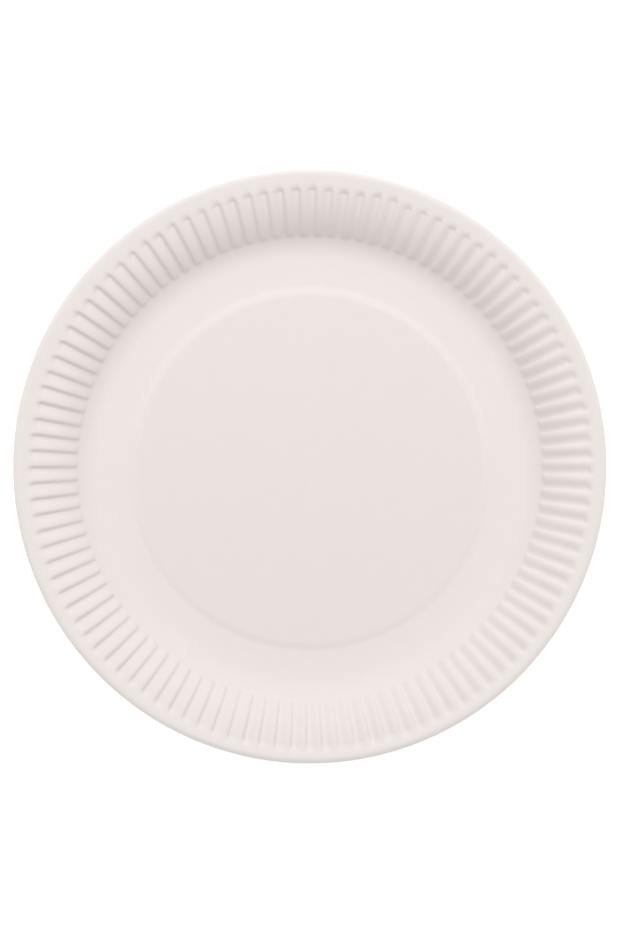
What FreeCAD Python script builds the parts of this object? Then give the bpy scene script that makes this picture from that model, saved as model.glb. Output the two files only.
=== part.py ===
import FreeCAD, Part
import math
import os

# A paper plate: one disc of paperboard, pressed between two dies.
# Millimetres, +Z up. Z = 0 is the surface that the plate stands on.
# X = Y = 0 is the middle of the outer edge.

# Overall sizes
DIAMETER = 230.0          # across the outer edge
HEIGHT = 16.0             # from the table to the top of the lip
BOARD = 0.4               # thickness of the paperboard

# The pressed form sits a little off the middle of the cut disc,
# so the lip is wider on one side than on the other.
FORM_X = 0.40
FORM_Y = -0.90

# Widths seen from above, from the outer edge inward. The flat middle is what is left.
EDGE_WIDTH = 2.4          # outer edge, turned down
LIP_WIDTH = 2.2           # flat lip, at its mean
FLUTE_END_WIDTH = 2.4     # end of a flute, and the sloping part of the lip between two ends
SHOULDER_WIDTH = 15.0     # upper part of the wall, which curves out into the lip
COVE_WIDTH = 11.3         # lower part of the wall, which curves up from the foot ring
FOOT_WIDTH = 10.1         # flat ring that the plate stands on
STEP_WIDTH = 4.6          # slope up to the flat middle

STEP_HEIGHT = 1.0         # the flat middle stands this much above the foot ring
LIP_SLOPE = 9.5           # degrees that the lip still rises where the wall ends
EDGE_TURN = 50.0          # degrees that the outer edge is turned down

# Flutes: grooves pressed into the wall, each with one steep and one gentle side.
# The shares are of the pitch, and the gentle side takes what is left.
FLUTE_COUNT = 108
FLUTE_TURN = 0.52         # the first ridge stands this share of a pitch round from +X
FLUTE_DEPTH = 1.3         # depth at the outer end
STEEPEST_DEPTH = 0.8      # depth where the wall is steepest
NOSE_WIDTH = 3.6          # seen from above, nose of a ridge on the lower part of the wall
RIDGE_SHARE = 0.18        # flat top of a ridge
STEEP_SHARE = 0.20        # steep side
FLOOR_SHARE = 0.20        # floor

# Flat spans along each curve of the section
COVE_SPANS = 2
SHOULDER_SPANS = 3
EDGE_SPANS = 2

# Radii of the pressed form about its own middle
EDGE_RADIUS = DIAMETER / 2 - EDGE_WIDTH
FLUTE_END = EDGE_RADIUS - LIP_WIDTH
SHOULDER_RADIUS = FLUTE_END - FLUTE_END_WIDTH
STEEPEST_RADIUS = SHOULDER_RADIUS - SHOULDER_WIDTH
FOOT_OUTER = STEEPEST_RADIUS - COVE_WIDTH
FOOT_INNER = FOOT_OUTER - FOOT_WIDTH
DISC_RADIUS = FOOT_INNER - STEP_WIDTH

# The flutes' floors rise along two curves that meet where they are steepest. Each curve rises by
# its width times the tangent of its mean slope, which gives a quadratic for the steepest slope.
LIP_LEAN = math.radians(LIP_SLOPE)
LIP_RISE = FLUTE_END_WIDTH * math.tan(LIP_LEAN)
RISE = HEIGHT - BOARD - FLUTE_DEPTH - LIP_RISE
START = math.tan(LIP_LEAN / 2)
MIDDLE = COVE_WIDTH + SHOULDER_WIDTH + RISE * START
REST = RISE - SHOULDER_WIDTH * START
ROOT = math.sqrt(MIDDLE ** 2 - 4 * COVE_WIDTH * START * REST)
STEEPEST = 2 * math.atan(2 * REST / (MIDDLE + ROOT))
COVE_CURVE = COVE_WIDTH / math.sin(STEEPEST)
SHOULDER_CURVE = SHOULDER_WIDTH / (math.sin(STEEPEST) - math.sin(LIP_LEAN))
NOSE_SLOPE = math.asin((COVE_WIDTH - NOSE_WIDTH) / COVE_CURVE)
END_LEAN = math.atan2(FLUTE_DEPTH + LIP_RISE, FLUTE_END_WIDTH)

PITCH = 2 * math.pi / FLUTE_COUNT
GENTLE_SHARE = 1 - RIDGE_SHARE - STEEP_SHARE - FLOOR_SHARE
FLATNESS = 1e-7           # a corner this near to a plane lies in it
UP = FreeCAD.Vector(0, 0, 1)
ORIGIN = FreeCAD.Vector(0, 0, 0)


class Level:
    """One level of the wall: a point on the line of the flutes' floors, its slope and the flutes' depth."""

    def __init__(self, radius, height, slope=0.0, depth=0.0):
        self.radius = radius
        self.height = height
        self.slope = slope
        self.depth = depth


class Crease:
    """A line that runs up the wall, along one edge of a flute's side.

    The phase is its share of the pitch from the middle of a ridge, and the side is the share
    that the flute's side takes. The ridge lies ahead of the side where toward is 1, and behind
    it where toward is -1.
    """

    def __init__(self, phase, on_ridge=False, side=1.0, toward=0):
        self.phase = phase
        self.on_ridge = on_ridge
        self.side = side
        self.toward = toward


RIDGE_NEAR = Crease(-RIDGE_SHARE / 2, True, GENTLE_SHARE, 1)
RIDGE_FAR = Crease(RIDGE_SHARE / 2, True, STEEP_SHARE, -1)
FLOOR_NEAR = Crease(RIDGE_FAR.phase + STEEP_SHARE, False, STEEP_SHARE, -1)
FLOOR_FAR = Crease(FLOOR_NEAR.phase + FLOOR_SHARE, False, GENTLE_SHARE, 1)
NEXT_RIDGE = Crease(1 + RIDGE_NEAR.phase, True, GENTLE_SHARE, 1)
CREASES = [RIDGE_NEAR, RIDGE_FAR, FLOOR_NEAR, FLOOR_FAR, NEXT_RIDGE]
FLUTE_TIP = Crease((FLOOR_NEAR.phase + FLOOR_FAR.phase) / 2)
NOSE = Crease(0.0)
NEXT_NOSE = Crease(1.0)


def cove_level(slope):
    """A level of the plain curve that rises from the foot ring."""
    return Level(FOOT_OUTER + COVE_CURVE * math.sin(slope),
                 BOARD + COVE_CURVE * (1 - math.cos(slope)), slope)


def shoulder_level(slope, depth):
    """A level of the fluted curve that evens out into the lip."""
    return Level(SHOULDER_RADIUS - SHOULDER_CURVE * (math.sin(slope) - math.sin(LIP_LEAN)),
                 BOARD + RISE - SHOULDER_CURVE * (math.cos(LIP_LEAN) - math.cos(slope)), slope, depth)


def corner(level, crease, under, outward=0.0):
    """The corner where a crease meets a level, on the upper face or on the underside.

    The underside lies one board below. Its corners also move toward the ridge, and outward at
    the end of a flute, so that the sloping sides are as thick as the rest.
    """
    lift = level.depth if crease.on_ridge else 0.0
    angle = (FLUTE_TURN + crease.phase) * PITCH
    reach = level.radius
    if under:
        lean = math.atan2(level.depth, crease.side * PITCH * level.radius)
        lift -= BOARD
        angle += crease.toward * BOARD * math.tan(lean / 2) / level.radius
        reach += outward
    radius = reach - lift * math.sin(level.slope)
    height = level.height + lift * math.cos(level.slope)
    return FreeCAD.Vector(radius * math.cos(angle), radius * math.sin(angle), height)


def panel(corners):
    """Flat faces over three or four corners: one where they lie in a plane, two where they are twisted."""
    first, second, third = corners[:3]
    normal = (second - first).cross(third - first).normalize()
    if abs(normal.dot(corners[-1] - first)) < FLATNESS:
        return [Part.Face(Part.makePolygon(corners + [first]))]
    return [Part.Face(Part.makePolygon([first, second, third, first])),
            Part.Face(Part.makePolygon([first, third, corners[3], first]))]


def strips(rows):
    """The panels between rows that have the same number of corners."""
    faces = []
    for low, high in zip(rows, rows[1:]):
        for side in range(len(low) - 1):
            faces += panel([low[side], low[side + 1], high[side + 1], high[side]])
    return faces


def cove_rows(under):
    """One pitch of the plain curve, from the foot ring up to the noses of two ridges."""
    levels = [cove_level(NOSE_SLOPE * span / COVE_SPANS) for span in range(COVE_SPANS + 1)]
    return [[corner(level, crease, under) for crease in (NOSE, NEXT_NOSE)] for level in levels]


def fluted_rows(under):
    """One pitch of the fluted curve, from its steepest level up to the lip."""
    levels = []
    for span in range(SHOULDER_SPANS + 1):
        share = span / SHOULDER_SPANS
        levels.append(shoulder_level(STEEPEST + (LIP_LEAN - STEEPEST) * share,
                                     STEEPEST_DEPTH + (FLUTE_DEPTH - STEEPEST_DEPTH) * share))
    rows = [[corner(level, crease, under) for crease in CREASES] for level in levels]
    shift = bend_shift(END_LEAN - LIP_LEAN)
    rows[-1][2:4] = [corner(levels[-1], crease, under, shift) for crease in (FLOOR_NEAR, FLOOR_FAR)]
    return rows


def bend_shift(bend):
    """How far the corners of a bend in the board lie further out on the underside."""
    return BOARD * math.tan(bend / 2)


def lip_row(under):
    """The corners where one pitch of the wall meets the flat lip, from one ridge to the next."""
    lip = Level(FLUTE_END, HEIGHT)
    shift = bend_shift(LIP_LEAN)
    return [corner(lip, RIDGE_NEAR, under, shift), corner(lip, RIDGE_FAR, under, shift),
            corner(lip, FLUTE_TIP, under, bend_shift(END_LEAN)), corner(lip, NEXT_RIDGE, under, shift)]


def wall_sector(under):
    """One pitch of the wall, from the foot ring to the lip, on one side of the board."""
    plain = cove_rows(under)
    fluted = fluted_rows(under)
    nose, next_nose = plain[-1]
    foot = fluted[0]
    top = fluted[-1]
    ridge_near, ridge_far, tip, next_ridge = lip_row(under)
    faces = strips(plain) + strips(fluted)
    faces += panel([nose, foot[1], foot[0]])
    faces += panel([nose, foot[2], foot[1]])
    faces += panel([nose, next_nose, foot[3], foot[2]])
    faces += panel([next_nose, foot[4], foot[3]])
    faces += panel([top[0], top[1], ridge_far, ridge_near])
    faces += panel([top[1], top[2], tip, ridge_far])
    faces += panel([top[2], top[3], tip])
    faces += panel([top[3], top[4], next_ridge, tip])
    return faces


def turned(shape, count):
    """A copy of the shape, turned about the middle of the form by a number of pitches."""
    copy = shape.copy()
    copy.rotate(ORIGIN, UP, math.degrees(count * PITCH))
    return copy


def ring_wire(corners):
    """A closed wire of one pitch's corners repeated round the form."""
    points = []
    for count in range(FLUTE_COUNT):
        turn = FreeCAD.Rotation(UP, math.degrees(count * PITCH))
        points += [turn.multVec(point) for point in corners]
    return Part.makePolygon(points + [points[0]])


def circle(radius, height):
    """A level circular wire about the middle of the form."""
    return Part.Wire(Part.Circle(FreeCAD.Vector(0, 0, height), UP, radius).toShape())


def band(start, end):
    """The cone that a straight line sweeps about the middle of the form."""
    return Part.LineSegment(start, end).toShape().revolve(ORIGIN, UP, 360)


def holed_face(outer, inner):
    """A flat face between two closed wires."""
    return Part.Face([outer, inner], "Part::FaceMakerBullseye")


def base_faces(under):
    """The flat middle, the step and the foot ring, on one side of the board."""
    low = 0.0 if under else BOARD
    high = low + STEP_HEIGHT
    foot_edge = cove_rows(under)[0][:1]
    return [Part.Face(circle(DISC_RADIUS, high)),
            band(FreeCAD.Vector(DISC_RADIUS, 0, high), FreeCAD.Vector(FOOT_INNER, 0, low)),
            holed_face(ring_wire(foot_edge), circle(FOOT_INNER, low))]


def edge_points(under):
    """The section of the turned-down edge, about the middle of the cut disc."""
    turn = math.radians(EDGE_TURN)
    curve = EDGE_WIDTH / math.sin(turn)
    middle = FreeCAD.Vector(EDGE_RADIUS, 0, HEIGHT - curve)
    reach = curve - BOARD if under else curve
    angles = [turn * span / EDGE_SPANS for span in range(EDGE_SPANS + 1)]
    return [middle + FreeCAD.Vector(math.sin(angle), 0, math.cos(angle)) * reach for angle in angles]


def lip_face(outer, under):
    """The flat lip between the outer edge and the ends of the flutes, on one side of the board."""
    return holed_face(outer, ring_wire(lip_row(under)[:-1]))


def rim_faces():
    """The lip on both sides, the turned-down edge and its cut end."""
    disc_middle = FreeCAD.Vector(-FORM_X, -FORM_Y, 0)
    upper = edge_points(False)
    lower = edge_points(True)
    faces = []
    for points, under in ((upper, False), (lower, True)):
        outer = circle(points[0].x, points[0].z)
        outer.translate(disc_middle)
        faces.append(lip_face(outer, under))
    section = upper + lower[::-1]
    for start, end in zip(section, section[1:]):
        bend = band(start, end)
        bend.translate(disc_middle)
        faces.append(bend)
    return faces


def plate():
    """The whole plate as one solid."""
    faces = rim_faces()
    for under in (False, True):
        faces += base_faces(under)
        sector = Part.makeCompound(wall_sector(under))
        sector.sewShape()
        faces += [turned(sector, count) for count in range(FLUTE_COUNT)]
    skin = Part.makeCompound(faces)
    skin.sewShape()
    solid = Part.makeSolid(skin.Shells[0])
    if solid.Volume < 0:
        solid.reverse()
    solid.translate(FreeCAD.Vector(FORM_X, FORM_Y, 0))
    return solid


def main():
    """Write the plate to its file and report its size."""
    os.makedirs("parts", exist_ok=True)
    body = plate()
    body.exportStep("parts/plate.step")
    box = body.optimalBoundingBox(False, False)
    print("plate: valid %s, %d faces, %.1f mm3" % (body.isValid(), len(body.Faces), body.Volume))
    print("box %.2f x %.2f x %.2f mm" % (box.XLength, box.YLength, box.ZLength))
    print("wall: steepest %.1f degrees, curves %.1f and %.1f mm, flat middle %.1f mm"
          % (math.degrees(STEEPEST), COVE_CURVE, SHOULDER_CURVE, DISC_RADIUS))


main()
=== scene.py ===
"""A pressed paper plate on a pale floor, seen from above in soft light."""

import logging
import math
import random
from dataclasses import dataclass
from enum import Enum

import bmesh
import bpy
from mathutils import Matrix, Vector


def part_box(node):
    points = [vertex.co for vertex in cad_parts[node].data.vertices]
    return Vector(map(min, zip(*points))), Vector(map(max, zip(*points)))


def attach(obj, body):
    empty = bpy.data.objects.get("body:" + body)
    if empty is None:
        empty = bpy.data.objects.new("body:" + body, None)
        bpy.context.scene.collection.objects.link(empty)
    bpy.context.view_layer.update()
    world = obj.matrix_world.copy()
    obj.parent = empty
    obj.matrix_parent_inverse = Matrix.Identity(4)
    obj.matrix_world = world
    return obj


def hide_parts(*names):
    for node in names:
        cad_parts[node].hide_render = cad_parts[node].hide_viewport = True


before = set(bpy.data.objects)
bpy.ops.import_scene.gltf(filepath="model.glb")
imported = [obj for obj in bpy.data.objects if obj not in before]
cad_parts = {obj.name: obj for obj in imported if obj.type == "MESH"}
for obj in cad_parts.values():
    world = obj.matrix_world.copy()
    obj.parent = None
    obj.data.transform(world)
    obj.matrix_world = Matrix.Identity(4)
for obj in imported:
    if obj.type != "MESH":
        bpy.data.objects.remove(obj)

MM = 0.001
LOG = logging.getLogger("plate")


def linear(code: str) -> tuple[float, float, float, float]:
    """Turn an sRGB hex colour into linear light.

    Args:
        code: Six hex digits, such as "E2D9D6".

    Returns:
        Red, green and blue in linear light, and an alpha of one.
    """
    parts = [int(code[place:place + 2], 16) / 255 for place in (0, 2, 4)]
    light = [part / 12.92 if part <= 0.04045 else ((part + 0.055) / 1.055) ** 2.4 for part in parts]
    return (light[0], light[1], light[2], 1.0)


def ease(value: float) -> float:
    """Rise smoothly from 0 to 1 as the value goes from 0 to 1."""
    held = min(1.0, max(0.0, value))
    return held * held * (3 - 2 * held)


def add_node(tree: bpy.types.NodeTree, kind: str, values: dict | None = None,
             links: dict | None = None, **settings: object) -> bpy.types.Node:
    """Add a node to a material or world.

    Args:
        tree: The node tree that takes the node.
        kind: Blender's name for the type of node.
        values: Values by input socket, by name or number.
        links: Output sockets by input socket, by name or number.
        **settings: The node's own properties.

    Returns:
        The new node.
    """
    node = tree.nodes.new(kind)
    for name, value in settings.items():
        setattr(node, name, value)
    for socket, value in (values or {}).items():
        node.inputs[socket].default_value = value
    for socket, source in (links or {}).items():
        tree.links.new(source, node.inputs[socket])
    return node


class Zone(Enum):
    """The zones of the section, from the middle out."""

    MIDDLE = "flat middle"
    STEP = "step"
    FOOT = "foot ring"
    COVE = "cove"
    NOSES = "noses of the ridges"
    SHOULDER = "shoulder"
    ENDS = "ends of the flutes"
    LIP = "lip"
    EDGE = "turned-down edge"


SPANS = {
    Zone.MIDDLE: 1,
    Zone.STEP: 6,
    Zone.FOOT: 1,
    Zone.COVE: 3,
    Zone.NOSES: 5,
    Zone.SHOULDER: 6,
    Zone.ENDS: 12,
    Zone.LIP: 2,
    Zone.EDGE: 4,
}


@dataclass(frozen=True)
class Section:
    """The section of the pressed board about the middle of the form, on its upper face.

    All sizes are in metres. The line follows the floors of the flutes, and beyond them it stays
    one flute's depth below the lip, so that lifting it by that depth gives the lip. Three radii
    are the flutes' own: the ridges rise from nose_start to nose_end, and the flutes reach their
    full depth at deepest. Over ends_width the section has finer spans, to round their ends.
    """

    diameter: float
    height: float
    board: float = 0.4 * MM
    edge_width: float = 2.4 * MM
    edge_turn: float = math.radians(50)
    lip_slope: float = math.radians(9.5)
    lip_width: float = 1.7 * MM
    flute_end_width: float = 2.9 * MM
    shoulder_width: float = 15.9 * MM
    cove_width: float = 10.4 * MM
    foot_width: float = 10.1 * MM
    step_width: float = 4.6 * MM
    step_height: float = 1.0 * MM
    flute_depth: float = 1.3 * MM
    nose_start: float = 89.8 * MM
    nose_end: float = 91.8 * MM
    deepest: float = 103.5 * MM
    ends_width: float = 5.0 * MM

    @property
    def edge_radius(self) -> float:
        """Radius where the edge starts to turn down."""
        return self.diameter / 2 - self.edge_width

    @property
    def flute_end(self) -> float:
        """Radius of the outer ends of the flutes."""
        return self.edge_radius - self.lip_width

    @property
    def shoulder_radius(self) -> float:
        """Radius where the shoulder has levelled out."""
        return self.flute_end - self.flute_end_width

    @property
    def steepest_radius(self) -> float:
        """Radius where the wall is steepest."""
        return self.shoulder_radius - self.shoulder_width

    @property
    def foot_outer(self) -> float:
        """Outer radius of the foot ring."""
        return self.steepest_radius - self.cove_width

    @property
    def foot_inner(self) -> float:
        """Inner radius of the foot ring."""
        return self.foot_outer - self.foot_width

    @property
    def disc_radius(self) -> float:
        """Radius of the flat middle."""
        return self.foot_inner - self.step_width

    @property
    def edge_curve(self) -> float:
        """Radius of curvature of the turned-down edge."""
        return self.edge_width / (math.sin(self.lip_slope) + math.sin(self.edge_turn))

    @property
    def lip_rise(self) -> float:
        """Rise of the lip from the shoulder to the top of the edge."""
        straight = (self.edge_radius - self.shoulder_radius) * math.tan(self.lip_slope)
        return straight + self.edge_curve * (1 - math.cos(self.lip_slope))

    @property
    def rise(self) -> float:
        """Rise of the flute floors from the foot ring to the shoulder."""
        return self.height - self.board - self.flute_depth - self.lip_rise

    @property
    def steepest(self) -> float:
        """Steepest slope of the flute floors.

        The cove and the shoulder are arcs that meet there, so their rises are their widths times
        the tangents of the mean slopes. That gives a quadratic for the tangent of half the slope.
        """
        start = math.tan(self.lip_slope / 2)
        middle = self.cove_width + self.shoulder_width + self.rise * start
        rest = self.rise - self.shoulder_width * start
        root = math.sqrt(middle * middle - 4 * self.cove_width * start * rest)
        return 2 * math.atan(2 * rest / (middle + root))

    def radii(self) -> list[float]:
        """List the radii of the section's points, from the middle out."""
        limits = {
            Zone.MIDDLE: (0.0, self.disc_radius),
            Zone.STEP: (self.disc_radius, self.foot_inner),
            Zone.FOOT: (self.foot_inner, self.foot_outer),
            Zone.COVE: (self.foot_outer, self.nose_start),
            Zone.NOSES: (self.nose_start, self.nose_end),
            Zone.SHOULDER: (self.nose_end, self.flute_end - self.ends_width),
            Zone.ENDS: (self.flute_end - self.ends_width, self.flute_end),
            Zone.LIP: (self.flute_end, self.edge_radius),
            Zone.EDGE: (self.edge_radius, self.diameter / 2),
        }
        found = [0.0]
        for zone, (inner, outer) in limits.items():
            count = SPANS[zone]
            found += [inner + (outer - inner) * span / count for span in range(1, count + 1)]
        return found

    def floor(self, radius: float) -> tuple[float, float]:
        """Find the height and the slope of the section.

        Args:
            radius: Distance from the middle of the form.

        Returns:
            The height above the table, and the lean of the line along which the flutes rise.
        """
        if radius <= self.foot_inner:
            share = (radius - self.disc_radius) / self.step_width
            return self.board + self.step_height * (1 - ease(share)), 0.0
        if radius <= self.foot_outer:
            return self.board, 0.0
        if radius <= self.steepest_radius:
            curve = self.cove_width / math.sin(self.steepest)
            slope = math.asin((radius - self.foot_outer) / curve)
            return self.board + curve * (1 - math.cos(slope)), slope
        level = self.board + self.rise
        if radius <= self.shoulder_radius:
            curve = self.shoulder_width / (math.sin(self.steepest) - math.sin(self.lip_slope))
            slope = math.asin(math.sin(self.lip_slope) + (self.shoulder_radius - radius) / curve)
            return level - curve * (math.cos(self.lip_slope) - math.cos(slope)), slope
        beyond = min(radius, self.edge_radius) - self.shoulder_radius
        level += beyond * math.tan(self.lip_slope)
        lean = self.lip_slope * (1 - ease(beyond / (self.edge_radius - self.shoulder_radius)))
        if radius > self.edge_radius:
            slope = math.asin(math.sin(self.lip_slope) - (radius - self.edge_radius) / self.edge_curve)
            level += self.edge_curve * (math.cos(slope) - math.cos(self.lip_slope))
        return level, lean


@dataclass(frozen=True)
class Flutes:
    """The flutes pressed into the wall, with the small differences from one to the next.

    Shares are parts of the pitch, counted anticlockwise from the middle of a ridge. The flutes
    radiate from a point middle_shift along +Y from the middle of the form. On the lower wall
    they have only the share inner_depth of their depth. Each closes over its last end_length,
    faster at first with a lower early_close, and its end bulges outward by end_bulge.
    """

    section: Section
    count: int = 108
    turn: float = 0.53
    middle_shift: float = -1.05 * MM
    ridge_share: float = 0.14
    steep_share: float = 0.20
    floor_share: float = 0.10
    gather: float = 0.4
    inner_depth: float = 0.6
    end_length: float = 3.0 * MM
    end_bulge: float = 1.2 * MM
    early_close: float = 0.6
    depth_spread: float = 0.06
    phase_spread: float = 0.02
    end_spread: float = 0.2 * MM
    seed: int = 23

    @property
    def gentle_share(self) -> float:
        """Share of the pitch on the gentle side."""
        return 1 - self.ridge_share - self.steep_share - self.floor_share

    @property
    def floor_middle(self) -> float:
        """Place of the middle of the floor within the pitch."""
        return self.ridge_share / 2 + self.steep_share + self.floor_share / 2

    def spread(self) -> list[tuple[float, float, float]]:
        """Draw each flute's own depth, lean and length."""
        draw = random.Random(self.seed)
        return [(1 + draw.gauss(0, self.depth_spread), draw.gauss(0, self.phase_spread),
                 draw.gauss(0, self.end_spread)) for _ in range(self.count)]

    def gathered(self, phase: float) -> float:
        """Move an evenly spaced column towards the steep side, where the form turns fastest."""
        about = self.floor_middle - self.steep_share / 2
        return phase - self.gather * math.sin(2 * math.pi * (phase - about)) / (2 * math.pi)

    def wave(self, phase: float) -> float:
        """Height across one pitch, 1 on the ridge and 0 on the floor."""
        down = ease((phase - self.ridge_share / 2) / self.steep_share)
        risen = (phase - (1 - self.ridge_share / 2 - self.gentle_share)) / self.gentle_share
        return 1 - down + ease(risen)

    def lift(self, radius: float, phase: float, own: tuple[float, float, float]) -> float:
        """Find how far the board stands above the line of the flute floors.

        Args:
            radius: Distance from the middle of the form.
            phase: Place within the pitch, from 0 to 1.
            own: The flute's own depth, lean and length.

        Returns:
            The height above that line, along its normal.
        """
        part = self.section
        depth, lean, length = own
        phase += lean * math.sin(math.pi * phase)
        middle = self.floor_middle
        side = middle if phase < middle else 1 - middle
        across = (phase - middle) / (side - self.ridge_share / 2)
        end = part.flute_end + length - self.end_bulge * across * across
        closed = ease(max(0.0, (radius - end) / self.end_length + 1) ** self.early_close)
        risen = ease((radius - part.nose_start) / (part.nose_end - part.nose_start))
        outward = ease((radius - part.nose_end) / (part.deepest - part.nose_end))
        reached = risen * (self.inner_depth + (1 - self.inner_depth) * outward)
        return part.flute_depth * reached * (1 - depth * (1 - self.wave(phase)) * (1 - closed))


@dataclass(frozen=True)
class Paperboard:
    """Uncoated white paperboard, pressed hot from one sheet.

    Bleached pulp with no clay coat is matt: it has no gloss to speak of, a warm white with faint
    clouds where the fibres lie thicker, and a soft tooth that only shows in low light. The step,
    the foot ring and the lip are painted a shade lighter than the rest: painted light, standing in
    for the bright line along the step and the light that the wall throws back onto the foot ring.
    """

    name: str = "white_paperboard"
    light_colour: str = "F2EBE8"
    dark_colour: str = "EDE5E2"
    cloud_share: float = 0.5
    # How much lighter the painted light makes the step, the foot ring and the lip.
    painted_light_share: float = 0.38
    roughness: float = 0.88
    ior: float = 1.47
    cloud_size: float = 5.0 * MM
    cloud_detail: float = 3.0
    cloud_breakup: float = 0.55
    # Fibres are 0.03 mm wide. They are drawn in bundles of 0.6 mm so that the tooth still shows.
    fibre_size: float = 0.6 * MM
    fibre_detail: float = 4.0
    fibre_breakup: float = 0.6
    fibre_height: float = 0.012 * MM
    tooth_strength: float = 0.6
    # The painted light fades in over the top of the step and out again over the cove.
    step_fade: tuple[float, float] = (-0.4 * MM, 1.2 * MM)
    cove_fade: tuple[float, float] = (-1.0 * MM, 8.0 * MM)

    def material(self, section: Section, middle: Vector) -> bpy.types.Material:
        """Make the material of the board.

        Args:
            section: The pressed section, which says where the foot ring and the lip lie.
            middle: Middle of the pressed form.

        Returns:
            The material.
        """
        made = bpy.data.materials.new(self.name)
        made.use_nodes = True
        tree = made.node_tree
        tree.nodes.clear()
        place = add_node(tree, "ShaderNodeTexCoord").outputs["Object"]
        clouds = add_node(tree, "ShaderNodeTexNoise",
                          {"Scale": 1 / self.cloud_size, "Detail": self.cloud_detail,
                           "Roughness": self.cloud_breakup},
                          {"Vector": place})
        radius = add_node(tree, "ShaderNodeVectorMath", {1: middle}, {0: place}, operation="DISTANCE")
        # Painted light: these masks paint the step, the foot ring and the lip a shade lighter.
        within = add_node(tree, "ShaderNodeMapRange",
                          {"From Min": section.disc_radius + self.step_fade[0],
                           "From Max": section.disc_radius + self.step_fade[1]},
                          {"Value": radius.outputs["Value"]}, interpolation_type="SMOOTHSTEP")
        beyond = add_node(tree, "ShaderNodeMapRange",
                          {"From Min": section.foot_outer + self.cove_fade[0],
                           "From Max": section.foot_outer + self.cove_fade[1],
                           "To Min": self.painted_light_share, "To Max": 0.0},
                          {"Value": radius.outputs["Value"]}, interpolation_type="SMOOTHSTEP")
        lip = add_node(tree, "ShaderNodeMapRange",
                       {"From Min": section.shoulder_radius, "From Max": section.flute_end,
                        "To Min": 0.0, "To Max": self.painted_light_share},
                       {"Value": radius.outputs["Value"]}, interpolation_type="SMOOTHSTEP")
        # Painted light over the step, the foot ring and the lip, added to the clouds below.
        pressed = add_node(tree, "ShaderNodeMath",
                           links={0: within.outputs["Result"], 1: beyond.outputs["Result"],
                                  2: lip.outputs["Result"]},
                           operation="MULTIPLY_ADD")
        lightness = add_node(tree, "ShaderNodeMath", {1: self.cloud_share},
                             {0: clouds.outputs["Fac"], 2: pressed.outputs["Value"]},
                             operation="MULTIPLY_ADD")
        colour = add_node(tree, "ShaderNodeMix",
                          {6: linear(self.dark_colour), 7: linear(self.light_colour)},
                          {0: lightness.outputs["Value"]}, data_type="RGBA")
        fibres = add_node(tree, "ShaderNodeTexNoise",
                          {"Scale": 1 / self.fibre_size, "Detail": self.fibre_detail,
                           "Roughness": self.fibre_breakup},
                          {"Vector": place})
        tooth = add_node(tree, "ShaderNodeBump",
                         {"Strength": self.tooth_strength, "Distance": self.fibre_height},
                         {"Height": fibres.outputs["Fac"]})
        shader = add_node(tree, "ShaderNodeBsdfPrincipled",
                          {"Roughness": self.roughness, "IOR": self.ior},
                          {"Base Color": colour.outputs[2], "Normal": tooth.outputs["Normal"]})
        add_node(tree, "ShaderNodeOutputMaterial", links={"Surface": shader.outputs["BSDF"]})
        return made


@dataclass(frozen=True)
class PaleFloor:
    """A plain white table, lit evenly.

    It lies a hair below the plate, so that the two faces don't fight, and glows a little, so
    that it stays as even and as white as a photographer's sheet lit from behind.
    """

    size: float = 6.0
    gap: float = 0.05 * MM
    colour: str = "F8F8F8"
    roughness: float = 0.9
    glow: float = 0.42

    def build(self) -> bpy.types.Object:
        """Lay the floor under the plate."""
        mesh = bpy.data.meshes.new("floor")
        form = bmesh.new()
        bmesh.ops.create_grid(form, x_segments=1, y_segments=1, size=self.size / 2)
        bmesh.ops.translate(form, verts=form.verts, vec=(0, 0, -self.gap))
        form.to_mesh(mesh)
        form.free()
        floor = bpy.data.objects.new("floor", mesh)
        bpy.context.scene.collection.objects.link(floor)
        made = bpy.data.materials.new("matt_white_table")
        made.use_nodes = True
        shader = made.node_tree.nodes["Principled BSDF"]
        shader.inputs["Base Color"].default_value = linear(self.colour)
        shader.inputs["Roughness"].default_value = self.roughness
        shader.inputs["Emission Color"].default_value = (1, 1, 1, 1)
        shader.inputs["Emission Strength"].default_value = self.glow
        mesh.materials.append(made)
        return floor


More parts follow.
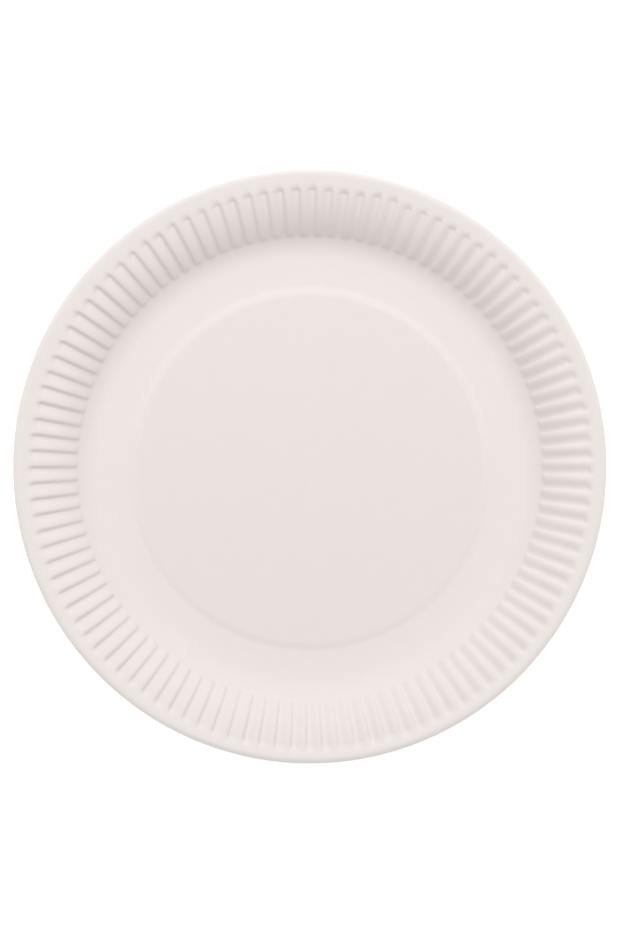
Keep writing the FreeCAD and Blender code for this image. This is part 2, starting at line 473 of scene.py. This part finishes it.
@dataclass
class PressedPlate:
    """The plate: one disc of board, pressed a little off its own middle.

    The form's middle lies at form_x and form_y. Over blend_width inside the turned-down edge,
    the surface goes over from that middle to the disc's own.
    """

    section: Section
    flutes: Flutes
    finish: Paperboard
    name: str = "pressed_plate"
    form_x: float = 0.40 * MM
    form_y: float = -0.90 * MM
    blend_width: float = 3.1 * MM
    columns_per_flute: int = 10
    weld: float = 0.001 * MM
    edge_round: float = 0.08 * MM
    edge_segments: int = 2
    sharp_angle: float = math.radians(60)

    def spin_section(self) -> bmesh.types.BMesh:
        """Spin the section about the middle of the form into the plain upper face."""
        form = bmesh.new()
        points = []
        for radius in self.section.radii():
            height = self.section.floor(radius)[0]
            points.append(form.verts.new((radius, 0, height)))
        edges = [form.edges.new(pair) for pair in zip(points, points[1:])]
        steps = self.flutes.count * self.columns_per_flute
        bmesh.ops.spin(form, geom=points + edges, cent=(0, 0, 0), axis=(0, 0, 1),
                       angle=2 * math.pi, steps=steps, use_merge=True)
        bmesh.ops.remove_doubles(form, verts=form.verts, dist=self.weld)
        bmesh.ops.recalc_face_normals(form, faces=form.faces)
        return form

    def press(self, form: bmesh.types.BMesh) -> None:
        """Press the flutes and set the form off the middle of the disc."""
        part = self.section
        spread = self.flutes.spread()
        for vert in form.verts:
            radius = math.hypot(vert.co.x, vert.co.y)
            turns = math.atan2(vert.co.y, vert.co.x) / (2 * math.pi) % 1.0 * self.flutes.count
            phase = self.flutes.gathered(turns % 1.0)
            angle = (int(turns) + phase + self.flutes.turn) * 2 * math.pi / self.flutes.count
            angle += self.flutes.middle_shift / part.flute_end * math.cos(angle)
            height, slope = part.floor(radius)
            lift = self.flutes.lift(radius, phase, spread[int(turns) % self.flutes.count])
            reach = radius - lift * math.sin(slope)
            share = ease((radius - part.edge_radius) / self.blend_width + 1)
            vert.co.x = reach * math.cos(angle) + self.form_x * (1 - share)
            vert.co.y = reach * math.sin(angle) + self.form_y * (1 - share)
            vert.co.z = height + lift * math.cos(slope)

    def build(self) -> bpy.types.Object:
        """Build the plate's mesh with its thickness."""
        form = self.spin_section()
        self.press(form)
        if sum(face.normal.z for face in form.faces) < 0:
            bmesh.ops.reverse_faces(form, faces=form.faces)
        for face in form.faces:
            face.smooth = True
        mesh = bpy.data.meshes.new(self.name)
        form.to_mesh(mesh)
        form.free()
        plate = bpy.data.objects.new(self.name, mesh)
        bpy.context.scene.collection.objects.link(plate)
        thick = plate.modifiers.new("board", "SOLIDIFY")
        thick.thickness = self.section.board
        thick.offset = -1
        thick.use_even_offset = True
        rounding = plate.modifiers.new("cut_edge", "BEVEL")
        rounding.width = self.edge_round
        rounding.segments = self.edge_segments
        rounding.limit_method = "ANGLE"
        rounding.angle_limit = self.sharp_angle
        return plate

    def dress(self, plate: bpy.types.Object) -> None:
        """Give the plate its finish and its place in the frame."""
        middle = Vector((self.form_x, self.form_y, 0.0))
        plate.data.materials.append(self.finish.material(self.section, middle))
        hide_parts("plate")
        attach(plate, "root")


@dataclass(frozen=True)
class SoftLight:
    """One large soft light aimed at the plate."""

    name: str
    place: tuple[float, float, float]
    width: float
    depth: float
    watts: float

    def build(self) -> bpy.types.Object:
        """Hang the light."""
        lamp = bpy.data.lights.new(self.name, "AREA")
        lamp.shape = "RECTANGLE"
        lamp.size = self.width
        lamp.size_y = self.depth
        lamp.energy = self.watts
        light = bpy.data.objects.new(self.name, lamp)
        light.location = self.place
        light.rotation_euler = (-Vector(self.place)).to_track_quat("-Z", "Y").to_euler()
        bpy.context.scene.collection.objects.link(light)
        return light


@dataclass(frozen=True)
class Studio:
    """The soft light round the plate: an even surround and a pair of lights at the top of the view."""

    surround: float = 0.59
    right: SoftLight = SoftLight("right_light", (0.481, 0.834, 1.278), 0.8, 0.8, 6.5)
    left: SoftLight = SoftLight("left_light", (-0.481, 0.834, 1.278), 0.8, 0.8, 5.9)

    def build(self) -> None:
        """Hang the lights and set the surround."""
        world = bpy.data.worlds.new("surround")
        world.use_nodes = True
        back = world.node_tree.nodes["Background"]
        back.inputs["Color"].default_value = (1, 1, 1, 1)
        back.inputs["Strength"].default_value = self.surround
        bpy.context.scene.world = world
        bpy.context.scene.view_settings.view_transform = "Standard"
        self.right.build()
        self.left.build()


@dataclass(frozen=True)
class Viewpoint:
    """The camera over the plate, framed as the photograph is.

    Pixels are counted from the top left corner of the 621 by 931 picture.
    """

    plate_width: float
    lip_height: float
    picture_width: float = 621.0
    picture_height: float = 931.0
    plate_pixels: float = 594.4
    middle_x: float = 310.4
    middle_y: float = 466.6
    distance: float = 3.0
    lean_x: float = math.radians(-2.5)
    lean_y: float = math.radians(0.6)
    film_width: float = 36.0

    def build(self) -> bpy.types.Object:
        """Set up the camera and make it the scene's."""
        pixel = self.plate_width / self.plate_pixels
        aim = Vector(((self.picture_width / 2 - self.middle_x) * pixel,
                      (self.middle_y - self.picture_height / 2) * pixel,
                      self.lip_height))
        back = Vector((math.tan(self.lean_x), math.tan(self.lean_y), 1.0)).normalized()
        right = Vector((0, 1, 0)).cross(back).normalized()
        up = back.cross(right)
        turn = Matrix((right, up, back)).transposed().to_4x4()
        lens = bpy.data.cameras.new("camera")
        lens.sensor_fit = "HORIZONTAL"
        lens.sensor_width = self.film_width
        lens.lens = self.film_width * self.distance / (self.picture_width * pixel)
        camera = bpy.data.objects.new("camera", lens)
        camera.matrix_world = Matrix.Translation(aim + back * self.distance) @ turn
        bpy.context.scene.collection.objects.link(camera)
        bpy.context.scene.camera = camera
        return camera


def main() -> None:
    """Build the plate and its setting."""
    logging.basicConfig(level=logging.INFO, format="%(message)s")
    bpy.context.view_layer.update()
    low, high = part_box("plate")
    section = Section(diameter=2 * min(-low.x, high.x, -low.y, high.y), height=high.z)
    Viewpoint(section.diameter, section.height).build()
    Studio().build()
    PaleFloor().build()
    maker = PressedPlate(section, Flutes(section), Paperboard())
    plate = maker.build()
    maker.dress(plate)
    LOG.info("%s: %d faces before its thickness", plate.name, len(plate.data.polygons))


if __name__ == "__main__":
    main()
